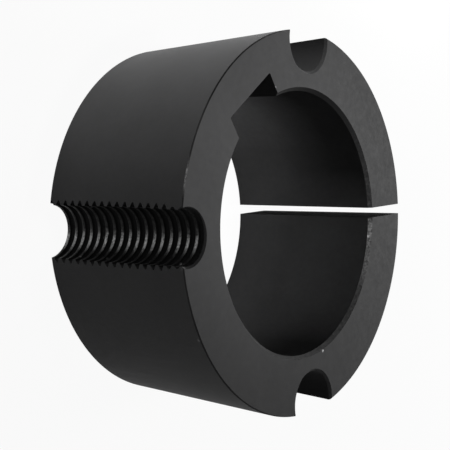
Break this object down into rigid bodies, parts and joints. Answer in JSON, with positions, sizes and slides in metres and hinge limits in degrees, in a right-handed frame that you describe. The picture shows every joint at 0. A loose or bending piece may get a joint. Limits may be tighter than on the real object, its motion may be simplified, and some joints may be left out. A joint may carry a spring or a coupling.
{
  "type": "taper bush",
  "caption": "Split tapered bush with a keyed shaft bore, and half-round screw holes let into its tapered outside.",
  "frame": {"origin": "on the axis of the bore, at the face of the small end", "axes": "+Z along the bore's axis towards the large end, +X outwards through the saw cut"},
  "size_m": [0.0696, 0.0695, 0.0318],
  "materials": {
    "blackened_iron": "turned and blackened, satin, with faint tool marks"
  },
  "bodies": {
    "root": {"taper_bush": "blackened_iron"}
  },
  "joints": []
}
